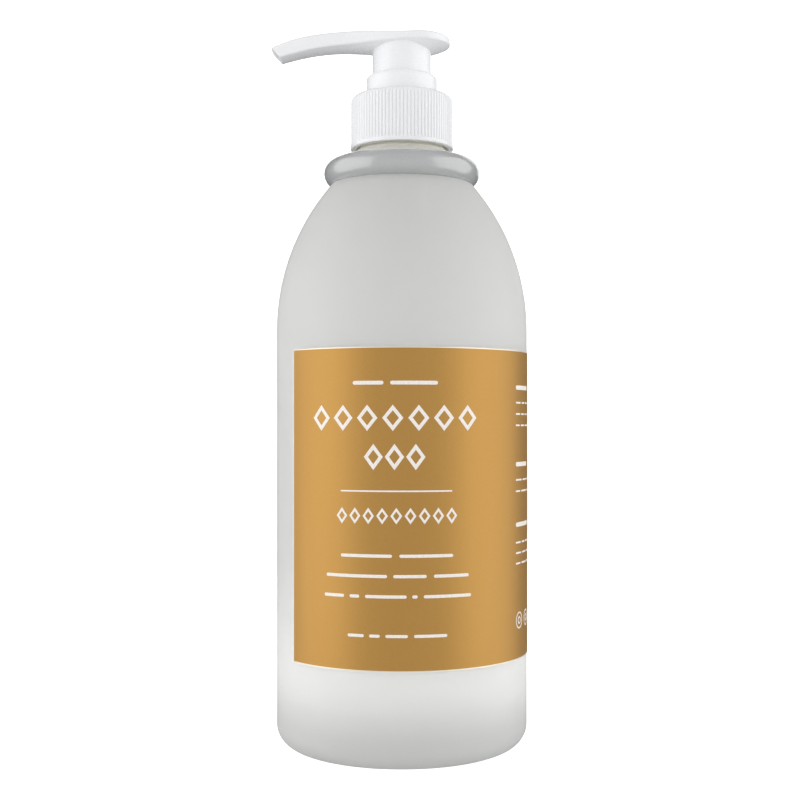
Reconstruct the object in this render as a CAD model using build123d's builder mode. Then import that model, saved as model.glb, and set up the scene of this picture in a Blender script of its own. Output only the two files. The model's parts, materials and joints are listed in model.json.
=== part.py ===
from build123d import *
import math
import os

# Pump bottle for massage oil: frosted bottle, wrap label and a small lotion pump.
# Millimetres. Origin at the centre of the base's contact ring, +Z up.
# The spout points to -X and the label's front faces -Y.

# ---------------------------------------------------------------- bottle
bottle_r = 44.9
wall = 1.2
base_corner_r = 8.0
base_push_up = 2.5
base_ring_inner_r = 29.0
base_thickness = 1.8
shoulder_z = 148.0          # where the straight body ends
shoulder_arc_r = 80.0
bead_r = 23.1               # centre circle of the bead at the foot of the neck
bead_z = 204.5
bead_half = 4.9
bead_wall = 1.4
deck_z = 208.6              # where the bead runs into the neck ring
neck_ring_r = 16.5
neck_ring_top_z = 212.4
neck_ring_slope = 1.2       # height of the cone from the ring up to the neck
lip_chamfer = 0.35
neck_r = 14.87
neck_bore_r = 12.6
neck_bore_bottom_z = 206.6
neck_bore_flare = 0.6
lip_z = 228.05

# ---------------------------------------------------------------- screw thread, single start
pitch = 4.2
thread_turns = 1.3
thread_start_deg = 35.0
bottle_crest_r = 16.07
bottle_thread_z = 217.5     # mid height of the ridge where it starts
closure_thread_drop = 1.7   # the closure's ridge bears on the underside of the bottle's
closure_crest_r = 15.15
thread_embed = 0.3          # how far a ridge's foot sits inside the wall it grows from
bottle_ridge_half = (1.3, 0.6)      # half width of the ridge at its foot and at its crest
closure_ridge_half = (1.05, 0.45)

# ---------------------------------------------------------------- label
label_bottom_z = 33.6
label_top_z = 140.0
label_gap = 0.03
label_thickness = 0.17
label_start_deg = -55.0     # from the front, positive towards +X
label_end_deg = 200.0

# ---------------------------------------------------------------- closure
closure_r = 18.35
closure_band_r = 18.5
closure_band_height = 1.35
closure_bottom_z = 213.3
closure_top_z = 232.4
closure_corner_r = 2.4
closure_bore_r = 16.35
closure_plate = 1.6
closure_hole_r = 11.75
rib_count = 90
rib_groove_width = 1.28     # of the cutting wedge, at its open end
rib_groove_depth = 0.42
rib_wedge_out = 0.3         # how far the cutting wedge stands outside the closure
closure_mouth_chamfer = 0.4
closure_band_edge = 0.2
closure_band_step = 0.15    # height of the slope from the plain band in to the ribs

# ---------------------------------------------------------------- pump body
running = 0.05              # radial and axial clearance of the moving pieces
gasket_thickness = 1.2
gasket_inset = 0.1
flange_r = 15.0
flange_thickness = 1.5
cup_r = 12.4
cup_bore_r = 11.6
cup_floor_z = 225.2
cup_floor = 1.2
cylinder_r = 9.1
cylinder_bore_r = 8.0
cage_ledge_z = 191.75
cage_bore_r = 5.6
inlet_bore_r = 1.6
inlet_seat_z = 186.0        # foot of the inlet seat's cone
socket_top_z = 184.0
socket_bottom_z = 172.0
vent_r = 0.5
vent_drop = 1.6             # below the top of the resting piston
housing_wall = 1.2
socket_wall = 1.3
socket_fit = 0.02
socket_lead_in = 0.35
cup_corner = 0.8
stem_passage = 0.3
seat_reach = 1.8            # width and height of the inlet seat's 45 degree cone

# ---------------------------------------------------------------- collar
collar_r = 12.8
collar_top_z = 239.6
collar_round = 1.5
collar_bore_r = 10.75
guide_r = 5.2
guide_top_z = 232.0
guide_lead_in = 0.3
collar_mouth_chamfer = 0.15

# ---------------------------------------------------------------- moving pump pieces
stem_r = 4.0
stem_bore_r = 2.4
stem_top_z = 245.0
stem_collar_r = 5.0
stem_collar_height = 1.0
outlet_seat_r = 1.6
outlet_seat_depth = 1.4
outlet_seat_throat = 2.0
piston_height = 6.0
piston_sleeve = 1.3         # wall round the stem
piston_lip = 0.7
piston_lip_height = 1.0
piston_lip_inset = 0.1
piston_waist = 0.35         # how far the middle stands back from the lips
piston_cup_depth = 1.9
retainer_flange_r = 6.0
retainer_flange = 1.5
retainer_bore_r = 1.4
retainer_nose = 3.0         # length of the boss inside the spring
retainer_nose_chamfer = 0.4
retainer_plug = 8.0         # length of the plug inside the stem
ball_r = 2.4
ball_gap = 0.015            # a resting ball stands this far above its seat
outlet_lift = 1.2
spring_r = 4.6
spring_wire_r = 0.45
spring_turns = 7.0
spring_clear = 0.3          # between the coil and the bosses inside it
cage_height = 2.85
cage_boss_height = 2.4
cage_boss_chamfer = 0.5
cage_fit = 0.02
flow_hole_r = 0.95
flow_hole_ring_r = 2.3
flow_holes = 3

# ---------------------------------------------------------------- dip tube
tube_r = 3.0
tube_bore_r = 2.1
tube_bottom_z = 6.0
tube_foot_slant = 4.4       # rise of the slanted foot across the tube
tube_top_gap = 0.05

# ---------------------------------------------------------------- pump head
skirt_r = 10.55
skirt_bore_r = 9.5
skirt_bottom_z = 235.2
socket_r = 5.6
head_socket_bottom_z = 240.0
pad_x = 5.5                 # centre of the round rear end of the finger pad
belly_r = 24.0              # how round the head's underside is, seen along the spout
crown = 0.5
channel_r = 1.4
channel_z = 250.9
channel_points = [
    (0, channel_z), (-17.0, 251.4), (-26.0, 251.3), (-36.0, 250.0), (-46.0, 246.9), (-56.0, 242.4),
]
chamber_r = 2.75
chamber_top_z = 252.0
peg_r = 0.8
dish_sphere_r = 60.0        # finger dish
dish_depth = 0.65
dish_back = 1.0             # from the pad's centre towards the spout
head_draft = 0.25           # how far each side leans in at the top
lower_edge_round = 0.8
upper_edge_round = 1.1

# station: x, half width, height of the upper edge, height of the lower edge
head_stations = [
    (pad_x, 12.0, 253.5, 250.8),
    (-2.0, 11.6, 253.4, 250.7),
    (-9.7, 9.7, 253.95, 250.3),
    (-17.0, 7.5, 254.4, 250.0),
    (-26.0, 6.1, 254.1, 249.4),
    (-36.0, 5.5, 252.7, 247.7),
    (-46.0, 5.3, 249.25, 244.9),
    (-56.0, 5.2, 244.4, 240.9),
]
spout_cut_top = (-46.6, 249.0)
spout_cut_bottom = (-42.9, 244.9)
past_tip_x = -80.0

# ---------------------------------------------------------------- derived sizes
gasket_bottom_z = lip_z
flange_bottom_z = lip_z + gasket_thickness
flange_top_z = flange_bottom_z + flange_thickness
stem_stop_z = cup_floor_z - running
piston_top_z = stem_stop_z - stem_collar_height - running
piston_bottom_z = piston_top_z - piston_height
stem_bottom_z = piston_bottom_z - running
retainer_bottom_z = stem_bottom_z - retainer_flange
inlet_ball_z = inlet_seat_z - inlet_bore_r + ball_r * math.sqrt(2) + ball_gap
outlet_seat_foot_z = stem_top_z - outlet_seat_depth
outlet_ball_z = outlet_seat_foot_z - outlet_seat_r + ball_r * math.sqrt(2) + ball_gap
cage_top_z = cage_ledge_z + cage_height

os.makedirs("parts", exist_ok=True)


def polar(radius, degrees, centre=(0.0, 0.0)):
    """Point at an angle on a circle, in a sketch's own two axes."""
    a = math.radians(degrees)
    return (centre[0] + radius * math.cos(a), centre[1] + radius * math.sin(a))


def circles_meet(c1, r1, c2, r2, side):
    """Where two circles cross; side picks which of the two points."""
    dx, dy = c2[0] - c1[0], c2[1] - c1[1]
    d = math.hypot(dx, dy)
    along = (r1 * r1 - r2 * r2 + d * d) / (2 * d)
    across = side * math.sqrt(r1 * r1 - along * along)
    ux, uy = dx / d, dy / d
    return (c1[0] + along * ux - across * uy, c1[1] + along * uy + across * ux)


def angle_of(point, centre):
    return math.degrees(math.atan2(point[1] - centre[1], point[0] - centre[0]))


# ================================================================ bottle
shoulder_centre = (bottle_r - shoulder_arc_r, shoulder_z)
bead_centre = (bead_r, bead_z)
bead_inner = bead_half - bead_wall
inner_shoulder_r = shoulder_arc_r - wall

shoulder_end = circles_meet(shoulder_centre, shoulder_arc_r, bead_centre, bead_half, -1)
inner_shoulder_end = circles_meet(shoulder_centre, inner_shoulder_r, bead_centre, bead_inner, -1)
shoulder_end_deg = angle_of(shoulder_end, shoulder_centre)
inner_end_deg = angle_of(inner_shoulder_end, shoulder_centre)
bead_leaves_deg = 128.0        # where the bead's round runs out into the deck
bead_inner_deg = 145.0
# the push-up under the base is a shallow spherical cap, centred on the axis
dome_r = (base_ring_inner_r**2 + base_push_up**2) / (2 * base_push_up)
dome_half_r = base_ring_inner_r / 2
dome_middle = (dome_half_r, base_push_up - dome_r + math.sqrt(dome_r**2 - dome_half_r**2))

with BuildPart() as bottle_thread:
    with BuildLine() as bottle_thread_path:
        Helix(
            pitch=pitch, height=pitch * thread_turns, radius=neck_r,
            center=(0, 0, bottle_thread_z),
        )
    with BuildSketch(
        Plane(origin=bottle_thread_path.line @ 0, x_dir=(1, 0, 0), z_dir=bottle_thread_path.line % 0)
    ):
        with BuildLine():
            Polyline(
                (-thread_embed, -bottle_ridge_half[0]),
                (bottle_crest_r - neck_r, -bottle_ridge_half[1]),
                (bottle_crest_r - neck_r, bottle_ridge_half[1]),
                (-thread_embed, bottle_ridge_half[0]),
                close=True,
            )
        make_face()
    sweep(path=bottle_thread_path.line, is_frenet=True)

with BuildPart() as bottle:
    with BuildSketch(Plane.XZ):
        with BuildLine():
            # outside, from the middle of the base up to the lip
            ThreePointArc((0, base_push_up), dome_middle, (base_ring_inner_r, 0))
            Line((base_ring_inner_r, 0), (bottle_r - base_corner_r, 0))
            ThreePointArc(
                (bottle_r - base_corner_r, 0),
                polar(base_corner_r, -45, (bottle_r - base_corner_r, base_corner_r)),
                (bottle_r, base_corner_r),
            )
            Line((bottle_r, base_corner_r), (bottle_r, shoulder_z))
            ThreePointArc(
                (bottle_r, shoulder_z),
                polar(shoulder_arc_r, shoulder_end_deg / 2, shoulder_centre),
                shoulder_end,
            )
            bead_end = polar(bead_half, bead_leaves_deg, bead_centre)
            bead_inner_end = polar(bead_inner, bead_inner_deg, bead_centre)
            ThreePointArc(shoulder_end, polar(bead_half, 20, bead_centre), bead_end)
            Polyline(
                bead_end,
                (neck_ring_r + 0.8, deck_z - 0.15),
                (neck_ring_r, deck_z + 0.4),
                (neck_ring_r, neck_ring_top_z),
                (neck_r, neck_ring_top_z + neck_ring_slope),
                (neck_r, lip_z - lip_chamfer),
                (neck_r - lip_chamfer, lip_z),
                (neck_bore_r, lip_z),
                (neck_bore_r, neck_bore_bottom_z),
                (neck_bore_r + neck_bore_flare, neck_bore_bottom_z - neck_bore_flare),
                bead_inner_end,
            )
            # inside, down to the middle of the base
            ThreePointArc(bead_inner_end, polar(bead_inner, 30, bead_centre), inner_shoulder_end)
            ThreePointArc(
                inner_shoulder_end,
                polar(inner_shoulder_r, inner_end_deg / 2, shoulder_centre),
                (bottle_r - wall, shoulder_z),
            )
            inner_corner = base_corner_r - wall
            floor_z = base_thickness
            Line((bottle_r - wall, shoulder_z), (bottle_r - wall, floor_z + inner_corner))
            ThreePointArc(
                (bottle_r - wall, floor_z + inner_corner),
                polar(inner_corner, -45, (bottle_r - wall - inner_corner, floor_z + inner_corner)),
                (bottle_r - wall - inner_corner, floor_z),
            )
            Line((bottle_r - wall - inner_corner, floor_z), (base_ring_inner_r, floor_z))
            ThreePointArc(
                (base_ring_inner_r, floor_z),
                (dome_middle[0], dome_middle[1] + base_thickness),
                (0, base_push_up + base_thickness),
            )
            Line((0, base_push_up + base_thickness), (0, base_push_up))
        make_face()
    revolve(axis=Axis.Z)
    add(bottle_thread.part, rotation=(0, 0, thread_start_deg))
bottle.part.label = "bottle"
export_step(bottle.part, "parts/bottle.step")

# ================================================================ label
label_r = bottle_r + label_gap
with BuildPart() as label:
    with BuildSketch(Plane.XY.offset(label_bottom_z)):
        with BuildLine():
            start = label_start_deg - 90
            sweep_deg = label_end_deg - label_start_deg
            outer_r = label_r + label_thickness
            CenterArc((0, 0), label_r, start, sweep_deg)
            CenterArc((0, 0), outer_r, start, sweep_deg)
            Line(polar(label_r, start), polar(outer_r, start))
            Line(polar(label_r, start + sweep_deg), polar(outer_r, start + sweep_deg))
        make_face()
    extrude(amount=label_top_z - label_bottom_z)
label.part.label = "label"
export_step(label.part, "parts/label.step")

# ================================================================ closure
closure_plate_z = closure_top_z - closure_plate
closure_thread_z = bottle_thread_z - closure_thread_drop
closure_corner = (closure_r - closure_corner_r, closure_top_z - closure_corner_r)
rib_bottom_z = closure_bottom_z + closure_band_height + closure_band_step

with BuildPart() as closure_thread:
    with BuildLine() as closure_thread_path:
        Helix(
            pitch=pitch, height=pitch * thread_turns, radius=closure_bore_r,
            center=(0, 0, closure_thread_z),
        )
    with BuildSketch(
        Plane(origin=closure_thread_path.line @ 0, x_dir=(1, 0, 0), z_dir=closure_thread_path.line % 0)
    ):
        with BuildLine():
            Polyline(
                (thread_embed, -closure_ridge_half[0]),
                (closure_crest_r - closure_bore_r, -closure_ridge_half[1]),
                (closure_crest_r - closure_bore_r, closure_ridge_half[1]),
                (thread_embed, closure_ridge_half[0]),
                close=True,
            )
        make_face()
    sweep(path=closure_thread_path.line, is_frenet=True)

with BuildPart() as closure:
    with BuildSketch(Plane.XZ):
        with BuildLine():
            Polyline(
                (closure_hole_r, closure_top_z),
                (closure_hole_r, closure_plate_z),
                (closure_bore_r, closure_plate_z),
                (closure_bore_r, closure_bottom_z + closure_mouth_chamfer),
                (closure_bore_r + closure_mouth_chamfer, closure_bottom_z),
                (closure_band_r - closure_band_edge, closure_bottom_z),
                (closure_band_r, closure_bottom_z + closure_band_edge),
                (closure_band_r, rib_bottom_z - closure_band_step),
                (closure_r, rib_bottom_z),
                (closure_r, closure_corner[1]),
            )
            ThreePointArc(
                (closure_r, closure_corner[1]),
                polar(closure_corner_r, 45, closure_corner),
                (closure_corner[0], closure_top_z),
            )
            Line((closure_corner[0], closure_top_z), (closure_hole_r, closure_top_z))
        make_face()
    revolve(axis=Axis.Z)
    # fine grip ribs: V grooves that run out in the rounded top edge and stop above the plain band
    with BuildSketch(Plane.XY.offset(rib_bottom_z)):
        with PolarLocations(closure_r, rib_count):
            Polygon(
                (rib_wedge_out, -rib_groove_width / 2), (-rib_groove_depth, 0),
                (rib_wedge_out, rib_groove_width / 2), align=None,
            )
    extrude(amount=closure_top_z - closure_bottom_z, mode=Mode.SUBTRACT)
    add(closure_thread.part, rotation=(0, 0, thread_start_deg))
closure.part.label = "closure"
export_step(closure.part, "parts/closure.step")

# ================================================================ neck gasket
with BuildPart() as neck_gasket:
    with BuildSketch(Plane.XY.offset(gasket_bottom_z)):
        Circle(neck_r - gasket_inset)
        Circle(cup_r + running, mode=Mode.SUBTRACT)
    extrude(amount=gasket_thickness)
neck_gasket.part.label = "neck_gasket"
export_step(neck_gasket.part, "parts/neck_gasket.step")

# ================================================================ housing
socket_outer_r = tube_r + socket_wall
cage_outer_r = cage_bore_r + housing_wall
with BuildPart() as housing:
    with BuildSketch(Plane.XZ):
        with BuildLine():
            Polyline(
                # outside, from the flange down to the dip-tube socket
                (cup_bore_r, flange_top_z),
                (flange_r, flange_top_z),
                (flange_r, flange_bottom_z),
                (cup_r, flange_bottom_z),
                (cup_r, cup_floor_z + cup_corner),
                (cup_r - cup_corner, cup_floor_z),
                (cylinder_r, cup_floor_z),
                (cylinder_r, cage_ledge_z + 5.5),
                (cage_outer_r, cage_ledge_z + 2.2),
                (cage_outer_r, inlet_seat_z + 1.0),
                (socket_outer_r, socket_top_z - 1.5),
                (socket_outer_r, socket_bottom_z),
                # inside, back up to the flange
                (tube_r + socket_lead_in, socket_bottom_z),
                (tube_r + socket_fit, socket_bottom_z + 2 * socket_lead_in),
                (tube_r + socket_fit, socket_top_z),
                (inlet_bore_r, socket_top_z),
                (inlet_bore_r, inlet_seat_z),
                (inlet_bore_r + seat_reach, inlet_seat_z + seat_reach),
                (inlet_bore_r + seat_reach, cage_ledge_z),
                (cage_bore_r, cage_ledge_z),
                (cage_bore_r, cage_ledge_z + 4.0),
                (cylinder_bore_r, cage_ledge_z + 6.5),
                (cylinder_bore_r, cup_floor_z),
                (stem_r + stem_passage, cup_floor_z),
                (stem_r + stem_passage, cup_floor_z + cup_floor),
                (cup_bore_r, cup_floor_z + cup_floor),
                close=True,
            )
        make_face()
    revolve(axis=Axis.Z)
    # vent hole near the top of the cylinder
    with BuildSketch(Plane.YZ.offset(cylinder_bore_r - 1.0)):
        with Locations((0, piston_top_z - vent_drop)):
            Circle(vent_r)
    extrude(amount=cylinder_r - cylinder_bore_r + 2.0, mode=Mode.SUBTRACT)
housing.part.label = "housing"
export_step(housing.part, "parts/housing.step")

# ================================================================ lock collar
with BuildPart() as lock_collar:
    with BuildSketch(Plane.XZ):
        with BuildLine():
            round_centre = (collar_r - collar_round, collar_top_z - collar_round)
            shoulder = closure_top_z + running
            floor_top = cup_floor_z + 2 * cup_floor
            Line((collar_r, shoulder), (collar_r, round_centre[1]))
            ThreePointArc(
                (collar_r, round_centre[1]),
                polar(collar_round, 45, round_centre),
                (round_centre[0], collar_top_z),
            )
            Polyline(
                (round_centre[0], collar_top_z),
                (collar_bore_r + collar_mouth_chamfer, collar_top_z),
                (collar_bore_r, collar_top_z - collar_mouth_chamfer),
                (collar_bore_r, floor_top),
                (guide_r, floor_top),
                (guide_r, guide_top_z),
                (stem_r + running + guide_lead_in, guide_top_z),
                (stem_r + running, guide_top_z - guide_lead_in),
                (stem_r + running, cup_floor_z + cup_floor),
                (cup_bore_r, cup_floor_z + cup_floor),
                (cup_bore_r, shoulder),
                (collar_r, shoulder),
            )
        make_face()
    revolve(axis=Axis.Z)
lock_collar.part.label = "lock_collar"
export_step(lock_collar.part, "parts/lock_collar.step")

# ================================================================ stem
with BuildPart() as stem:
    with BuildSketch(Plane.XZ):
        with BuildLine():
            Polyline(
                (stem_bore_r, stem_bottom_z),
                (stem_r, stem_bottom_z),
                (stem_r, piston_top_z + running),
                (stem_collar_r, piston_top_z + running),
                (stem_collar_r, stem_stop_z),
                (stem_r, stem_stop_z),
                (stem_r, stem_top_z),
                (outlet_seat_r + outlet_seat_depth, stem_top_z),
                (outlet_seat_r, outlet_seat_foot_z),
                (outlet_seat_r, outlet_seat_foot_z - outlet_seat_throat),
                (stem_bore_r, outlet_seat_foot_z - 1.5 * outlet_seat_throat),
                close=True,
            )
        make_face()
    revolve(axis=Axis.Z)
stem.part.label = "stem"
export_step(stem.part, "parts/stem.step")

# ================================================================ piston
piston_bore_r = stem_r + running
piston_r = cylinder_bore_r - running
sleeve_r = piston_bore_r + piston_sleeve
lower_lip_z = piston_bottom_z + piston_lip_inset
upper_lip_z = piston_top_z - piston_lip_inset
with BuildPart() as piston:
    with BuildSketch(Plane.XZ):
        with BuildLine():
            Polyline(
                (piston_bore_r, piston_bottom_z),
                (sleeve_r, piston_bottom_z),
                (sleeve_r, piston_bottom_z + piston_cup_depth),
                (piston_r - piston_lip, lower_lip_z),
                (piston_r, lower_lip_z),
                (piston_r, lower_lip_z + piston_lip_height),
                (piston_r - piston_waist, piston_bottom_z + piston_cup_depth),
                (piston_r - piston_waist, piston_top_z - piston_cup_depth),
                (piston_r, upper_lip_z - piston_lip_height),
                (piston_r, upper_lip_z),
                (piston_r - piston_lip, upper_lip_z),
                (sleeve_r, piston_top_z - piston_cup_depth),
                (sleeve_r, piston_top_z),
                (piston_bore_r, piston_top_z),
                close=True,
            )
        make_face()
    revolve(axis=Axis.Z)
piston.part.label = "piston"
export_step(piston.part, "parts/piston.step")

# ================================================================ piston retainer
retainer_nose_r = spring_r - spring_wire_r - spring_clear
retainer_nose_z = retainer_bottom_z - retainer_nose
plug_top_z = stem_bottom_z + retainer_plug
with BuildPart() as piston_retainer:
    with BuildSketch(Plane.XZ):
        with BuildLine():
            Polyline(
                (retainer_bore_r, retainer_nose_z),
                (retainer_nose_r - retainer_nose_chamfer, retainer_nose_z),
                (retainer_nose_r, retainer_nose_z + retainer_nose_chamfer),
                (retainer_nose_r, retainer_bottom_z),
                (retainer_flange_r, retainer_bottom_z),
                (retainer_flange_r, stem_bottom_z),
                (stem_bore_r, stem_bottom_z),
                (stem_bore_r, plug_top_z - retainer_nose_chamfer),
                (stem_bore_r - retainer_nose_chamfer, plug_top_z),
                (retainer_bore_r, plug_top_z),
                close=True,
            )
        make_face()
    revolve(axis=Axis.Z)
piston_retainer.part.label = "piston_retainer"
export_step(piston_retainer.part, "parts/piston_retainer.step")

# ================================================================ main spring
spring_bottom_z = cage_top_z + spring_wire_r + running
spring_top_z = retainer_bottom_z - spring_wire_r - running
spring_length = spring_top_z - spring_bottom_z
with BuildPart() as main_spring:
    with BuildLine() as spring_path:
        Helix(
            pitch=spring_length / spring_turns, height=spring_length, radius=spring_r,
            center=(0, 0, spring_bottom_z),
        )
    with BuildSketch(Plane(origin=spring_path.line @ 0, x_dir=(1, 0, 0), z_dir=spring_path.line % 0)):
        Circle(spring_wire_r)
    sweep(path=spring_path.line, is_frenet=True)
main_spring.part.label = "main_spring"
export_step(main_spring.part, "parts/main_spring.step")

# ================================================================ ball cage
with BuildPart() as ball_cage:
    with BuildSketch(Plane.XY.offset(cage_ledge_z)):
        Circle(cage_bore_r - cage_fit)
    extrude(amount=cage_height)
    with BuildSketch(Plane.XY.offset(cage_top_z)):
        Circle(spring_r - spring_wire_r - spring_clear)
    extrude(amount=cage_boss_height)
    chamfer(ball_cage.faces().sort_by(Axis.Z)[-1].edges(), length=cage_boss_chamfer)
    # flow holes round the middle
    with BuildSketch(Plane.XY.offset(cage_ledge_z)):
        with PolarLocations(flow_hole_ring_r, flow_holes):
            Circle(flow_hole_r)
    extrude(amount=cage_height + cage_boss_height, mode=Mode.SUBTRACT)
ball_cage.part.label = "ball_cage"
export_step(ball_cage.part, "parts/ball_cage.step")

# ================================================================ valve balls
with BuildPart() as inlet_ball:
    with BuildSketch(Plane.XZ):
        with Locations((0, inlet_ball_z)):
            Circle(ball_r)
            with Locations((-ball_r, 0)):
                Rectangle(2 * ball_r, 4 * ball_r, mode=Mode.SUBTRACT)
    revolve(axis=Axis.Z)
inlet_ball.part.label = "inlet_ball"
export_step(inlet_ball.part, "parts/inlet_ball.step")

with BuildPart() as outlet_ball:
    with BuildSketch(Plane.XZ):
        with Locations((0, outlet_ball_z)):
            Circle(ball_r)
            with Locations((-ball_r, 0)):
                Rectangle(2 * ball_r, 4 * ball_r, mode=Mode.SUBTRACT)
    revolve(axis=Axis.Z)
outlet_ball.part.label = "outlet_ball"
export_step(outlet_ball.part, "parts/outlet_ball.step")

# ================================================================ dip tube
with BuildPart() as dip_tube:
    with BuildSketch(Plane.XY.offset(tube_bottom_z)):
        Circle(tube_r)
        Circle(tube_bore_r, mode=Mode.SUBTRACT)
    extrude(amount=socket_top_z - tube_top_gap - tube_bottom_z)
    # slanted foot, so that the tube can't seal itself against the base
    with BuildSketch(Plane.XZ):
        with BuildLine():
            Polyline(
                (-tube_r - 1, tube_bottom_z - 1), (tube_r + 1, tube_bottom_z - 1),
                (tube_r + 1, tube_bottom_z - 1 + tube_foot_slant), close=True,
            )
        make_face()
    extrude(amount=tube_r + 1, both=True, mode=Mode.SUBTRACT)
dip_tube.part.label = "dip_tube"
export_step(dip_tube.part, "parts/dip_tube.step")


# ================================================================ actuator
def head_section(half_width, top_z, edge_z):
    """Outline across the head: crowned top, upright sides, rounded belly, softened corners."""
    belly_z = edge_z - half_width**2 / (2 * belly_r)
    top_half = half_width - head_draft
    with BuildSketch() as section:
        with BuildLine():
            ThreePointArc((-half_width, edge_z), (0, belly_z), (half_width, edge_z))
            Line((half_width, edge_z), (top_half, top_z))
            ThreePointArc((top_half, top_z), (0, top_z + crown), (-top_half, top_z))
            Line((-top_half, top_z), (-half_width, edge_z))
        make_face()
        fillet(section.vertices().group_by(Axis.Y)[0], radius=lower_edge_round)
        fillet(section.vertices().group_by(Axis.Y)[-1], radius=upper_edge_round)
    return section.sketch


pad_width, pad_top_z, pad_edge_z = head_stations[0][1:]
peg_bottom_z = outlet_ball_z + ball_r + outlet_lift + running

with BuildPart() as actuator:
    # spout and the front of the finger pad
    for x, half_width, top_z, edge_z in head_stations:
        with BuildSketch(Plane.YZ.offset(x)):
            add(head_section(half_width, top_z, edge_z))
    loft()
    # round rear end of the finger pad
    with BuildSketch(Plane.YZ.offset(pad_x)):
        add(head_section(pad_width, pad_top_z, pad_edge_z))
        with Locations((pad_width, pad_top_z)):
            Rectangle(2 * pad_width, 40, mode=Mode.SUBTRACT)
    revolve(axis=Axis((pad_x, 0, 0), (0, 0, 1)), revolution_arc=180)
    # shallow finger dish
    with Locations((pad_x - dish_back, 0, pad_top_z + crown + dish_sphere_r - dish_depth)):
        Sphere(dish_sphere_r, mode=Mode.SUBTRACT)
    # skirt that slides in the collar, and the socket that grips the stem
    with BuildSketch(Plane.XY.offset(skirt_bottom_z)):
        Circle(skirt_r)
        Circle(skirt_bore_r, mode=Mode.SUBTRACT)
    extrude(amount=pad_edge_z + 0.8 - skirt_bottom_z)
    with BuildSketch(Plane.XY.offset(head_socket_bottom_z)):
        Circle(socket_r)
    extrude(amount=pad_edge_z - 1.0 - head_socket_bottom_z)
    with BuildSketch(Plane.XY.offset(head_socket_bottom_z)):
        Circle(stem_r)
    extrude(amount=stem_top_z - head_socket_bottom_z, mode=Mode.SUBTRACT)
    # chamber of the outlet ball, with the peg that stops it
    with BuildSketch(Plane.XY.offset(stem_top_z)):
        Circle(chamber_r)
    extrude(amount=chamber_top_z - stem_top_z, mode=Mode.SUBTRACT)
    # liquid channel along the spout
    with BuildLine(Plane.XZ) as channel_path:
        Spline(
            *channel_points,
            tangents=((-1, 0), (-0.91, -0.42)),
        )
    with BuildSketch(Plane.YZ):
        with Locations((0, channel_z)):
            Circle(channel_r)
    sweep(path=channel_path.line, mode=Mode.SUBTRACT)
    with BuildSketch(Plane.XY.offset(peg_bottom_z)):
        Circle(peg_r)
    extrude(amount=chamber_top_z + 0.2 - peg_bottom_z)
    # slanted end of the spout
    with BuildSketch(Plane.XZ):
        run = 2 * (spout_cut_bottom[0] - spout_cut_top[0])
        rise = 2 * (spout_cut_top[1] - spout_cut_bottom[1])
        cut_foot = (spout_cut_bottom[0] + run, spout_cut_bottom[1] - rise)
        cut_head = (spout_cut_top[0] - run, spout_cut_top[1] + rise)
        Polygon(cut_foot, cut_head, (past_tip_x, cut_head[1]), (past_tip_x, cut_foot[1]), align=None)
    extrude(amount=20, both=True, mode=Mode.SUBTRACT)
actuator.part.label = "actuator"
export_step(actuator.part, "parts/actuator.step")
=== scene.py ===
import json
import math
import random

import bpy
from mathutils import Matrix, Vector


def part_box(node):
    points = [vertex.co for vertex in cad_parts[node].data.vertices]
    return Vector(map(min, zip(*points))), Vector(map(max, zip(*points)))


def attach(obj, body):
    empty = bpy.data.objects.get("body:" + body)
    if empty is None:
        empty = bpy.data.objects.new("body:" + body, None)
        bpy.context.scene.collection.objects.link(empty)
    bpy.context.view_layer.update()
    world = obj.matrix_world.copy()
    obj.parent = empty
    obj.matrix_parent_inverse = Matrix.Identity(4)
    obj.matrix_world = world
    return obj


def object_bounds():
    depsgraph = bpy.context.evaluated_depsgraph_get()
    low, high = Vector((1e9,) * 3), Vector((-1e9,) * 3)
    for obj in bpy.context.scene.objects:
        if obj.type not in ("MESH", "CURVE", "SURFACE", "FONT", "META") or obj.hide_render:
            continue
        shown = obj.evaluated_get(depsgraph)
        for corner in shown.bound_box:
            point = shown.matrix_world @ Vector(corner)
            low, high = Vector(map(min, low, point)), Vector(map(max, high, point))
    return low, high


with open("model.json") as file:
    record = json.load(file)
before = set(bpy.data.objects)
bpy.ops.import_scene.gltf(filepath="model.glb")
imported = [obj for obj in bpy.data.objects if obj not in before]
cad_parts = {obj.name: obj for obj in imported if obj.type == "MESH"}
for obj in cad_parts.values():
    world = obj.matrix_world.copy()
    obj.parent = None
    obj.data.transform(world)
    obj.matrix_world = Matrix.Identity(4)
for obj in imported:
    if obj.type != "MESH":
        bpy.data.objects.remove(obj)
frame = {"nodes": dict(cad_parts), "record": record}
cad_low, cad_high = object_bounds()
nodes = frame["nodes"]
scene = bpy.context.scene
scene.view_settings.view_transform = "Standard"
MM = 0.001

label_low, label_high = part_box("label")
label_r = -label_low.y
LABEL_START, LABEL_END = -55.0, 200.0   # degrees from the front, positive towards +X


def feed(tree, socket, value):
    """Links the socket to an output, or gives it a plain value."""
    if isinstance(value, bpy.types.NodeSocket):
        tree.links.new(value, socket)
    else:
        socket.default_value = value


def calc(tree, operation, a, b=0.0):
    node = tree.nodes.new("ShaderNodeMath")
    node.operation = operation
    feed(tree, node.inputs[0], a)
    feed(tree, node.inputs[1], b)
    return node.outputs[0]


def rgba(value):
    """An output as it is, or a plain colour with its alpha."""
    return value if isinstance(value, bpy.types.NodeSocket) else (*value, 1)


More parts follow.
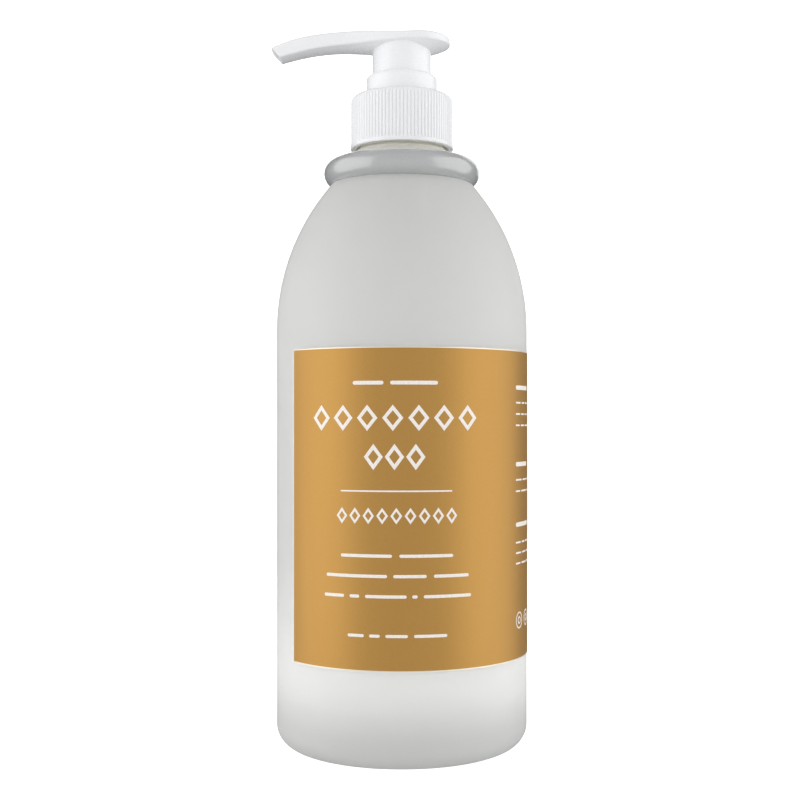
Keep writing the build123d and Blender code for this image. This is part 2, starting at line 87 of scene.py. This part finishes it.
# ---------------------------------------------------------------- materials
class Paint:
    """One procedural material: a Principled shader and the nodes that feed it, in the object's own metres."""

    def __init__(self, name, **settings):
        self.material = bpy.data.materials.new(name)
        self.material.use_nodes = True
        self.tree = self.material.node_tree
        self.shader = next(n for n in self.tree.nodes if n.type == "BSDF_PRINCIPLED")
        self.place = self.add("ShaderNodeTexCoord").outputs["Object"]
        for setting, value in settings.items():
            self.put(setting.replace("_", " "), value)

    def add(self, kind):
        return self.tree.nodes.new(kind)

    def feed(self, socket, value):
        feed(self.tree, socket, value)

    def put(self, name, value):
        """Sets one input of the shader."""
        self.feed(self.shader.inputs[name], value)

    def calc(self, operation, a, b=0.0):
        return calc(self.tree, operation, a, b)

    def step(self, value, start, end, low=0.0, high=1.0):
        """Smooth change from low to high as value goes from start to end."""
        node = self.add("ShaderNodeMapRange")
        node.interpolation_type = "SMOOTHSTEP"
        for socket, v in zip(node.inputs, (value, start, end, low, high)):
            self.feed(socket, v)
        return node.outputs[0]

    def noise(self, grain_mm, detail=2.0, stretch=(1, 1, 1)):
        """Cloudy noise from 0 to 1 with features of about that size."""
        mapping = self.add("ShaderNodeMapping")
        self.feed(mapping.inputs["Vector"], self.place)
        mapping.inputs["Scale"].default_value = stretch
        node = self.add("ShaderNodeTexNoise")
        self.feed(node.inputs["Vector"], mapping.outputs[0])
        node.inputs["Scale"].default_value = 1 / (grain_mm * MM)
        node.inputs["Detail"].default_value = detail
        return node.outputs[0]

    def mix(self, share, a, b):
        node = self.add("ShaderNodeMix")
        node.data_type = "RGBA"
        self.feed(node.inputs[0], share)
        self.feed(node.inputs[6], rgba(a))
        self.feed(node.inputs[7], rgba(b))
        return node.outputs[2]

    def axes(self):
        """x, y and z, in the object's own metres."""
        node = self.add("ShaderNodeSeparateXYZ")
        self.feed(node.inputs[0], self.place)
        return node.outputs

    def length(self, a, b):
        """The length of a line that goes a one way and b across it."""
        return self.calc("SQRT", self.calc("ADD", self.calc("MULTIPLY", a, a), self.calc("MULTIPLY", b, b)))

    def relief(self, *layers):
        """Bump from (height, depth in mm) pairs."""
        normal = None
        for height, depth_mm in layers:
            node = self.add("ShaderNodeBump")
            self.feed(node.inputs["Height"], height)
            node.inputs["Distance"].default_value = depth_mm * MM
            if normal:
                self.feed(node.inputs["Normal"], normal)
            normal = node.outputs[0]
        self.put("Normal", normal)

    def colour(self, value):
        self.put("Base Color", value)

    def rough(self, value):
        self.put("Roughness", value)


EVEN = (1.0, 1.0, 1.0)              # light of every colour scatters alike in the plastic
BEAD_R, BEAD_Z = 0.0231, 0.2045     # the centre of the bead's round section, in metres

# where a change on the bottle or its label starts and where it is complete, in metres
SHOULDER_SHADE = (0.140, 0.200)
HEEL = (0.085, 0.028)
FOOT_SHADE = (0.027, 0.001)
NECK_EDGE = (0.2088, 0.2093)
BEAD_EDGE = (0.00525, 0.00495)      # from the centre of the bead's section
GLOW_TOP = (0.075, 0.026)
GLOW_FOOT = (0.006, 0.030)
PAPER_EDGE = (0.00045, 0.00020)     # from the label's cut edge


def frosted():
    p = Paint("frosted_bottle", Transmission_Weight=0.45, IOR=1.4, Subsurface_Weight=0.6,
              Subsurface_Radius=EVEN, Subsurface_Scale=0.007)
    x, y, z = p.axes()
    from_axis = p.length(x, y)
    from_bead = p.length(p.calc("SUBTRACT", from_axis, BEAD_R), p.calc("SUBTRACT", z, BEAD_Z))
    bead = p.step(from_bead, *BEAD_EDGE)
    neck = p.step(z, *NECK_EDGE)
    cloud = p.noise(26, 3, (1, 1, 0.6))
    grain = p.noise(0.35, 2)

    shell = p.mix(cloud, (0.935, 0.94, 0.93), (0.965, 0.97, 0.96))
    # painted shade: the plastic's colour gets greyer up the shoulder and down towards the foot
    shell = p.mix(p.step(z, *SHOULDER_SHADE, 0, 0.70), shell, (0.84, 0.845, 0.82))
    shell = p.mix(p.step(z, *HEEL), shell, (0.935, 0.94, 0.93))
    shell = p.mix(p.step(z, *FOOT_SHADE, 0, 0.85), shell, (0.74, 0.755, 0.74))
    # the bead has no frosting, so it is glossier; its darker grey is painted shade for the clear bead, which
    # sends back less light than the frosted wall
    shell = p.mix(bead, shell, p.mix(cloud, (0.54, 0.555, 0.57), (0.60, 0.61, 0.62)))
    # painted light: the neck is bright cream where light shines through it under the closure
    shell = p.mix(neck, shell, (0.97, 0.94, 0.84))
    p.colour(p.mix(p.step(grain, 0.4, 0.6, 0, 0.12), shell, (0.84, 0.85, 0.84)))
    p.rough(p.step(bead, 0, 1, p.step(grain, 0.3, 0.7, 0.46, 0.58), 0.25))
    p.put("Specular IOR Level", p.step(bead, 0, 1, 0.12, 1.0))
    p.put("Coat Weight", bead)
    p.put("Coat Roughness", 0.16)
    p.put("Coat IOR", 1.8)
    # a glow stands in for light that comes through the plastic:
    # weak all over, more at the neck and most at the heel
    heel_glow = p.calc("MULTIPLY", p.step(z, *GLOW_TOP), p.step(z, *GLOW_FOOT, 0, 0.075))
    p.put("Emission Color", (1.0, 0.99, 0.95, 1))
    p.put("Emission Strength", p.calc("ADD", heel_glow, p.step(neck, 0, 1, 0.02, 0.045)))
    p.relief((p.noise(18, 2, (1, 1, 0.4)), 0.10), (grain, 0.006))
    return p.material


def gold_film():
    p = Paint("gold_label", Metallic=0.85, IOR=1.5)
    x, y, z = p.axes()
    turn = p.calc("ARCTAN2", x, p.calc("MULTIPLY", y, -1.0))

    def from_end(degrees):
        away = p.calc("ABSOLUTE", p.calc("SUBTRACT", turn, math.radians(degrees)))
        return p.calc("MULTIPLY", away, label_r)

    sheen = p.noise(30, 2, (1, 1, 0.35))
    flake = p.noise(0.22, 1)
    gold = p.mix(sheen, (0.425, 0.231, 0.056), (0.475, 0.262, 0.071))
    gold = p.mix(p.step(flake, 0.35, 0.65, 0, 0.5), gold, (0.53, 0.312, 0.095))
    # the white paper shows at the cut edges
    from_ends = p.calc("MINIMUM", from_end(LABEL_START), from_end(LABEL_END - 360))
    from_top = p.calc("SUBTRACT", label_high.z, z)
    from_foot = p.calc("SUBTRACT", z, label_low.z)
    from_cut = p.calc("MINIMUM", p.calc("MINIMUM", from_foot, from_top), from_ends)
    p.colour(p.mix(p.step(from_cut, *PAPER_EDGE), gold, (0.86, 0.80, 0.68)))
    p.rough(p.step(flake, 0.3, 0.7, 0.45, 0.52))
    p.relief((p.noise(40, 1, (1, 1, 0.3)), 0.08), (flake, 0.004))
    return p.material


def plastic(name, light, dark, roughness, grain_mm=0.5, relief_mm=0.006, swell_mm=0.03, **settings):
    """Moulded plastic: slow colour drift, fine mottle, slight unevenness and a fine moulded grain."""
    p = Paint(name, **settings)
    drift = p.noise(9, 3)
    grain = p.noise(grain_mm, 2)
    colour = p.mix(drift, light, dark)
    p.colour(p.mix(p.step(grain, 0.35, 0.65, 0, 0.15), colour, dark))
    p.rough(p.step(grain, 0.3, 0.7, roughness - 0.04, roughness + 0.05))
    p.relief((p.noise(6, 2), swell_mm), (grain, relief_mm))
    return p.material


def ink():
    p = Paint("white_ink")
    worn = p.noise(0.6, 2)
    p.colour(p.mix(p.step(worn, 0.3, 0.7), (0.86, 0.80, 0.74), (0.93, 0.89, 0.84)))
    p.rough(p.step(worn, 0.3, 0.7, 0.40, 0.52))
    p.relief((worn, 0.006))
    return p.material


def metal(name, light, dark, roughness):
    p = Paint(name, Metallic=1.0)
    drawn = p.noise(0.4, 3)
    p.colour(p.mix(drawn, light, dark))
    p.rough(p.step(drawn, 0.3, 0.7, roughness, roughness + 0.08))
    p.relief((drawn, 0.003))
    return p.material


finishes = {
    "frosted_shell": frosted(),
    "gold_label": gold_film(),
    "pump_white": plastic("pump_white", (0.885, 0.89, 0.905), (0.86, 0.868, 0.886), 0.24,
                          relief_mm=0.003, swell_mm=0.008,
                          Subsurface_Weight=0.15, Subsurface_Radius=EVEN, Subsurface_Scale=0.001),
    "seal_white": plastic("seal_white", (0.80, 0.80, 0.77), (0.72, 0.72, 0.69), 0.62, 0.3, 0.01),
    "natural_plastic": plastic("natural_plastic", (0.86, 0.86, 0.82), (0.78, 0.79, 0.76), 0.40,
                               Subsurface_Weight=0.3, Subsurface_Radius=EVEN, Subsurface_Scale=0.0015),
    "spring_steel": metal("spring_steel", (0.62, 0.62, 0.63), (0.48, 0.48, 0.50), 0.24),
    "ball_steel": metal("ball_steel", (0.74, 0.74, 0.75), (0.66, 0.66, 0.67), 0.10),
    "ball_glass": plastic("ball_glass", (0.90, 0.96, 0.94), (0.84, 0.92, 0.90), 0.06, 1.2, 0.001, 0.002,
                          Transmission_Weight=1.0, IOR=1.5),
}
white_ink = ink()
for part in frame["record"]["subparts"]:
    piece = nodes[part["node"]]
    piece.data.materials.clear()
    piece.data.materials.append(finishes[part["material_slot"]])


# ---------------------------------------------------------------- printed marks on the label
INK_TOP, INK_FOOT = 0.05, -0.05     # from the label's surface, mm
BAR_STEP = 1.2                      # between the points along a bar, mm
ARC_STEP = 15                       # between the points of a round outline, degrees
EDGE_STEPS = 4                      # parts that each side of a lozenge is drawn in
SAME_POINT = 1e-6                   # points this close are one, metres


class Print:
    """Marks drawn along the label in mm, s from its front line and z up, made into one thin curved mesh."""

    def __init__(self):
        self.points, self.faces = [], []

    def patch(self, rows):
        """A grid of (s, z) points, as rows of equal length."""
        first, width = len(self.points), len(rows[0])
        self.points += [p for row in rows for p in row]
        for i in range(len(rows) - 1):
            for j in range(width - 1):
                a = first + i * width + j
                self.faces.append((a, a + 1, a + 1 + width, a + width))

    def bar(self, start, end, z, height):
        """A line with round ends."""
        half, steps = height / 2, max(2, round((end - start) / BAR_STEP))
        round_end = [math.radians(a) for a in range(90, 0, -ARC_STEP)]
        left = [(start + half - half * math.sin(a), half * math.cos(a)) for a in round_end]
        middle = [(start + half + (end - start - height) * k / steps, half) for k in range(steps + 1)]
        right = [(start + end - s, h) for s, h in reversed(left)]
        outline = left + middle + right
        self.patch([[(s, z - h) for s, h in outline], [(s, z + h) for s, h in outline]])

    def lozenge(self, s, z, width, height, stroke):
        """An upright outlined lozenge."""
        corners = [(0, height / 2), (width / 2, 0), (0, -height / 2), (-width / 2, 0), (0, height / 2)]
        side = math.hypot(width, height) / 2
        shrink = 1 - stroke * side / (width / 2 * height / 2)
        outer = []
        for (a, b), (c, d) in zip(corners, corners[1:]):
            for k in range(EDGE_STEPS):
                t = k / EDGE_STEPS
                outer.append((a + (c - a) * t, b + (d - b) * t))
        outer.append(corners[0])
        inner = [(a * shrink, b * shrink) for a, b in outer]
        self.patch([[(s + a, z + b) for a, b in inner], [(s + a, z + b) for a, b in outer]])

    def ring(self, s, z, radius, stroke):
        turns = [math.radians(ARC_STEP * k) for k in range(360 // ARC_STEP + 1)]
        self.patch([
            [(s + q * math.cos(a), z + q * math.sin(a)) for a in turns]
            for q in (radius - stroke, radius)
        ])

    def build(self, name):
        """Gives the marks a top, a foot and walls along their outlines, and puts them on the bottle."""
        edges = dict.fromkeys(edge for face in self.faces for edge in zip(face, face[1:] + face[:1]))
        count = len(self.points)
        vertices = []
        for height in (INK_TOP, INK_FOOT):
            for s, z in self.points:
                turn = s * MM / label_r
                r = label_r + height * MM
                vertices.append((r * math.sin(turn), -r * math.cos(turn), z * MM))
        faces = self.faces + [tuple(count + v for v in reversed(f)) for f in self.faces]
        faces += [(b, a, a + count, b + count) for a, b in edges if (b, a) not in edges]
        mesh = bpy.data.meshes.new(name)
        mesh.from_pydata(vertices, [], faces)
        mesh.update()
        made = bpy.data.objects.new(name, mesh)
        scene.collection.objects.link(made)
        made.data.materials.append(white_ink)
        # rings and lozenges end on the point where they start
        weld = made.modifiers.new("weld", "WELD")
        weld.merge_threshold = SAME_POINT
        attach(made, "bottle")


# the front: rows of (z, height of the marks, words as start and end along the label)
front = Print()
for z, height, words in [
    (128.2, 1.25, [(-16.5, -6.0), (-3.8, 12.0)]),
    (71.5, 1.05, [(-20.8, -3.2), (-0.8, 17.3)]),
    (64.85, 1.05, [(-26.4, -4.8), (-2.8, 8.2), (10.6, 23.1)]),
    (58.2, 1.05, [(-27.2, -19.6), (-17.6, -14.2), (-12.2, 1.6), (3.4, 5.2), (7.2, 24.0)]),
    (45.3, 1.0, [(-18.3, -12.6), (-10.8, -7.2), (-5.4, 2.0), (4.0, 15.2)]),
]:
    for start, end in words:
        front.bar(start, end, z, height)
front.bar(-20.9, 17.0, 92.7, 0.5)   # the divider
front.build("label_print_front")

# the large lines: rows of (number of lozenges, place of the first, pitch, z, width, height, stroke)
title = Print()
for count, first, pitch, z, width, height, stroke in [
    (7, -28.6, 8.55, 116.7, 7.0, 8.6, 1.15),
    (3, -9.4, 7.0, 103.9, 6.4, 8.6, 1.15),
    (9, -20.4, 4.65, 84.6, 3.9, 5.4, 0.72),
]:
    for k in range(count):
        title.lozenge(first + pitch * k, z, width, height, stroke)
title.build("label_print_title")

# the side panel: headings, each over a few lines of words, and a row of three symbols, in mm
SIDE_START, SIDE_END = 47.5, 92.0
HEADING_HEIGHT, LINE_HEIGHT, WORD_GAP = 1.5, 0.6, 1.2
SYMBOL_Z, SYMBOL_PITCH, SYMBOL_STROKE = 46.9, 8.0, 0.45
side = Print()
draw = random.Random(4)
for heading_z, lines in [(127.2, (122.0, 118.1, 114.2)), (100.8, (95.4, 91.5)), (80.0, (73.8, 70.2, 66.6))]:
    side.bar(SIDE_START, SIDE_START + draw.uniform(12, 17), heading_z, HEADING_HEIGHT)
    for z in lines:
        s = SIDE_START
        last = SIDE_END - draw.uniform(0, 14)
        while s < last:
            word = min(draw.uniform(2.5, 7.0), SIDE_END - s)
            side.bar(s, s + word, z, LINE_HEIGHT)
            s += word + WORD_GAP
for k in range(3):
    for radius in (2.9, 1.3):
        side.ring(SIDE_START + 3.0 + SYMBOL_PITCH * k, SYMBOL_Z, radius, SYMBOL_STROKE)
side.build("label_print_side")

# ---------------------------------------------------------------- floor, light and camera
# the floor is a disc that curves up all round into a wall, in metres
FLAT_R, COVE_R, WALL_TOP = 1.4, 0.8, 3.0
COVE_STEPS, ROUND_STEPS = 12, 96
profile = [(r, 0.0) for r in (0.3, 0.8, FLAT_R)]
for k in range(1, COVE_STEPS + 1):
    a = math.radians(90 * k / COVE_STEPS)
    profile.append((FLAT_R + COVE_R * math.sin(a), COVE_R - COVE_R * math.cos(a)))
profile.append((FLAT_R + COVE_R, WALL_TOP))
sweep = [(0.0, 0.0, 0.0)]
for r, z in profile:
    for k in range(ROUND_STEPS):
        a = 2 * math.pi * k / ROUND_STEPS
        sweep.append((r * math.cos(a), r * math.sin(a), z))
faces = [(0, 1 + k, 1 + (k + 1) % ROUND_STEPS) for k in range(ROUND_STEPS)]
for i in range(len(profile) - 1):
    for k in range(ROUND_STEPS):
        a = 1 + i * ROUND_STEPS + k
        b = 1 + i * ROUND_STEPS + (k + 1) % ROUND_STEPS
        faces.append((a, a + ROUND_STEPS, b + ROUND_STEPS, b))
floor_mesh = bpy.data.meshes.new("floor")
floor_mesh.from_pydata(sweep, [], faces)
floor_mesh.update()
floor_mesh.shade_smooth()
floor = bpy.data.objects.new("floor", floor_mesh)
scene.collection.objects.link(floor)
paper = Paint("studio_paper", Roughness=0.9, Emission_Color=(1, 1, 1, 1), Emission_Strength=0.9)
paper.colour(paper.mix(paper.noise(300, 2), (0.80, 0.80, 0.80), (0.83, 0.83, 0.83)))
floor.data.materials.append(paper.material)
for ray in ("diffuse", "glossy", "transmission", "shadow"):
    setattr(floor, f"visible_{ray}", False)

# the world is brighter in front of the object than behind it, and a little brighter below than above
AMBIENT, BACK, BELOW = 0.49, -0.37, 0.05
world = bpy.data.worlds.new("studio")
scene.world = world
world.use_nodes = True
sky = world.node_tree
direction = sky.nodes.new("ShaderNodeTexCoord").outputs["Generated"]
split = sky.nodes.new("ShaderNodeSeparateXYZ")
feed(sky, split.inputs[0], direction)
from_back = calc(sky, "MULTIPLY", split.outputs[1], BACK)
from_below = calc(sky, "MULTIPLY", split.outputs[2], -BELOW)
strength = calc(sky, "ADD", from_back, calc(sky, "ADD", from_below, AMBIENT))
feed(sky, sky.nodes["Background"].inputs["Strength"], strength)
feed(sky, sky.nodes["Background"].inputs["Color"], (1, 1, 1, 1))


def softbox(name, place, target, width, height, watts):
    """A rectangular lamp that faces target. Sizes and places are in metres."""
    data = bpy.data.lights.new(name, "AREA")
    data.shape = "RECTANGLE"
    data.size, data.size_y, data.energy = width, height, watts
    lamp = bpy.data.objects.new(name, data)
    scene.collection.objects.link(lamp)
    lamp.location = place
    lamp.rotation_euler = (target - lamp.location).to_track_quat("-Z", "Y").to_euler()
    lamp.visible_camera = False


middle = (cad_low + cad_high) / 2
softbox("left_softbox", (-0.83, -0.15, 0.28), middle, 1.20, 1.3, 5.9)
softbox("right_softbox", (0.83, -0.09, 0.28), middle, 1.20, 1.3, 5.6)
softbox("back_softbox", (0.10, 0.80, 0.50), middle, 0.8, 0.5, 1.2)

CAMERA_BACK, CAMERA_HEIGHT = 0.4725, 0.115      # from the bottle's axis and above its foot, metres
LENS, SENSOR = 58.94, 36                        # mm
SHIFT_X, SHIFT_Y = -0.00225, 0.02875            # of the picture's width
camera_data = bpy.data.cameras.new("camera")
camera = bpy.data.objects.new("camera", camera_data)
scene.collection.objects.link(camera)
camera.location = (0, -CAMERA_BACK, CAMERA_HEIGHT)
camera.rotation_euler = (math.radians(90), 0, 0)
camera_data.sensor_width = SENSOR
camera_data.lens = LENS
camera_data.shift_x = SHIFT_X
camera_data.shift_y = SHIFT_Y
camera_data.clip_start, camera_data.clip_end = 0.01, 20
scene.camera = camera
